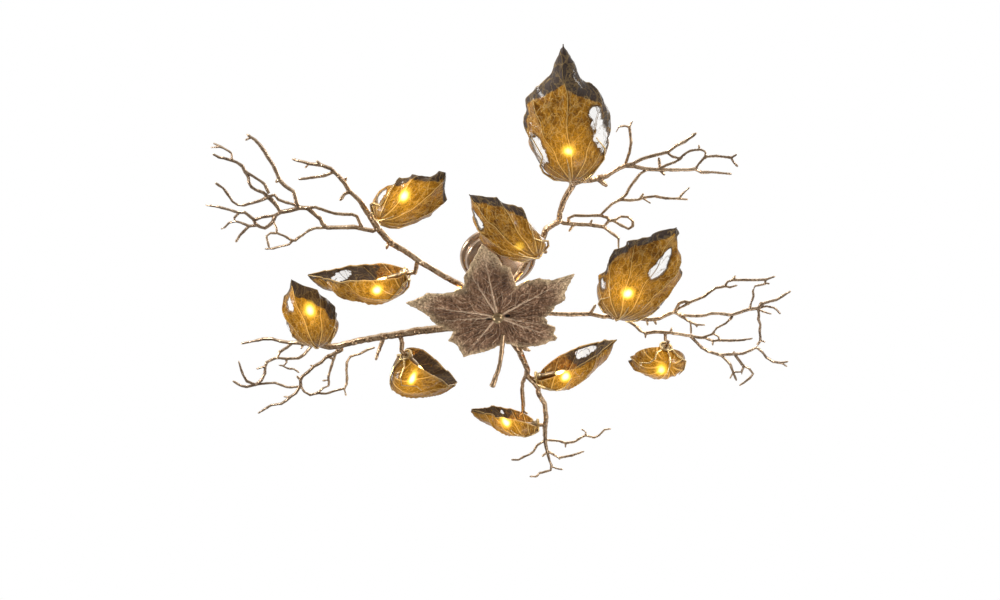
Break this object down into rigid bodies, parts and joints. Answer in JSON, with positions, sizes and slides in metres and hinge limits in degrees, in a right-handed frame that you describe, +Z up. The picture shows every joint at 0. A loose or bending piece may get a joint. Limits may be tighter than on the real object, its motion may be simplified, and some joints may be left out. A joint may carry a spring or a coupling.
{
  "type": "branch chandelier",
  "caption": "Ceiling light with cast twig limbs that spread from a hub under a round canopy, cupped art-glass leaf shades round small lamps, and a large cast maple leaf",
  "frame": {"origin": "centre of the ceiling plate's top face, on the ceiling", "axes": "+Z up to the ceiling, -Y towards the large glass leaf, +X right; the light hangs below the origin"},
  "size_m": [1.3097, 1.1848, 0.2371],
  "materials": {
    "branch_metal": "antique gold over cast bronze",
    "leaf_metal": "brown bronze",
    "canopy_metal": "satin antique gold",
    "calyx_metal": "satin antique gold",
    "art_glass": "amber and smoke art glass",
    "lamp_glass": "clear capsule",
    "holder_metal": "satin antique gold sleeve",
    "plate_steel": "zinc plated",
    "screw_steel": "plated",
    "driver_shell": "moulded",
    "block_plastic": "moulded"
  },
  "bodies": {
    "root": {"ceiling_plate": "plate_steel", "stem": "canopy_metal", "stem_nuts": "canopy_metal", "led_driver": "driver_shell", "terminal_block": "block_plastic", "plate_screws": "screw_steel", "hub": "branch_metal", "hub_arms": "branch_metal", "limb_a": "branch_metal", "limb_b": "branch_metal", "limb_c": "branch_metal", "limb_d": "branch_metal", "limb_e": "branch_metal", "spray_a1": "branch_metal", "spray_a2": "branch_metal", "spray_b1": "branch_metal", "spray_b2": "branch_metal", "spray_c1": "branch_metal", "spray_c2": "branch_metal", "spray_d": "branch_metal", "spray_e1": "branch_metal", "spray_e2": "branch_metal", "maple_leaf": "leaf_metal", "glass_leaf_1": "art_glass", "glass_leaf_2": "art_glass", "glass_leaf_3": "art_glass", "glass_leaf_4": "art_glass", "glass_leaf_5": "art_glass", "glass_leaf_6": "art_glass", "glass_leaf_7": "art_glass", "glass_leaf_8": "art_glass", "glass_leaf_9": "art_glass", "glass_leaf_10": "art_glass", "calyx_cups": "calyx_metal", "claws_a": "branch_metal", "claws_b": "branch_metal", "claws_c": "branch_metal", "claws_d": "branch_metal", "claws_e": "branch_metal", "lampholders": "holder_metal"},
    "canopy": {"canopy": "canopy_metal", "canopy_collar": "canopy_metal", "collar_screw": "screw_steel"},
    "knob": {"finial": "canopy_metal"},
    "lamp_1": {"lamp_1": "lamp_glass"},
    "lamp_2": {"lamp_2": "lamp_glass"},
    "lamp_3": {"lamp_3": "lamp_glass"},
    "lamp_4": {"lamp_4": "lamp_glass"},
    "lamp_5": {"lamp_5": "lamp_glass"},
    "lamp_6": {"lamp_6": "lamp_glass"},
    "lamp_7": {"lamp_7": "lamp_glass"},
    "lamp_8": {"lamp_8": "lamp_glass"},
    "lamp_9": {"lamp_9": "lamp_glass"},
    "lamp_10": {"lamp_10": "lamp_glass"},
    "hub_lamp_1": {"hub_lamp_1": "lamp_glass"},
    "hub_lamp_2": {"hub_lamp_2": "lamp_glass"},
    "hub_lamp_3": {"hub_lamp_3": "lamp_glass"}
  },
  "joints": [
    {"name": "canopy_slide", "type": "slide", "parent": "root", "child": "canopy", "axis": [0, 0, -1], "range_m": [0, 0.06]},
    {"name": "knob_turn", "type": "hinge", "parent": "root", "child": "knob", "pos_m": [0, 0, -0.188], "axis": [0, 0, 1], "continuous": true},
    {"name": "lamp_1_pull", "type": "slide", "parent": "root", "child": "lamp_1", "axis": [-0.0924, -0.9904, -0.1024], "range_m": [0, 0.008]},
    {"name": "lamp_2_pull", "type": "slide", "parent": "root", "child": "lamp_2", "axis": [0.9027, -0.4108, -0.1278], "range_m": [0, 0.008]},
    {"name": "lamp_3_pull", "type": "slide", "parent": "root", "child": "lamp_3", "axis": [-0.706, -0.6641, -0.2461], "range_m": [0, 0.008]},
    {"name": "lamp_4_pull", "type": "slide", "parent": "root", "child": "lamp_4", "axis": [-0.9549, 0.2963, -0.0163], "range_m": [0, 0.008]},
    {"name": "lamp_5_pull", "type": "slide", "parent": "root", "child": "lamp_5", "axis": [-0.1476, -0.9753, -0.1642], "range_m": [0, 0.008]},
    {"name": "lamp_6_pull", "type": "slide", "parent": "root", "child": "lamp_6", "axis": [0.3242, -0.9393, -0.1124], "range_m": [0, 0.008]},
    {"name": "lamp_7_pull", "type": "slide", "parent": "root", "child": "lamp_7", "axis": [0.9512, -0.308, -0.0163], "range_m": [0, 0.008]},
    {"name": "lamp_8_pull", "type": "slide", "parent": "root", "child": "lamp_8", "axis": [0.5137, 0.855, 0.0718], "range_m": [0, 0.008]},
    {"name": "lamp_9_pull", "type": "slide", "parent": "root", "child": "lamp_9", "axis": [-0.9959, -0.067, -0.06], "range_m": [0, 0.008]},
    {"name": "lamp_10_pull", "type": "slide", "parent": "root", "child": "lamp_10", "axis": [-0.2405, 0.9702, -0.0282], "range_m": [0, 0.008]},
    {"name": "hub_lamp_1_pull", "type": "slide", "parent": "root", "child": "hub_lamp_1", "axis": [-0.8039, -0.5948, 0], "range_m": [0, 0.008]},
    {"name": "hub_lamp_2_pull", "type": "slide", "parent": "root", "child": "hub_lamp_2", "axis": [0.5736, -0.8192, 0], "range_m": [0, 0.008]},
    {"name": "hub_lamp_3_pull", "type": "slide", "parent": "root", "child": "hub_lamp_3", "axis": [-0.4226, 0.9063, 0], "range_m": [0, 0.008]}
  ]
}
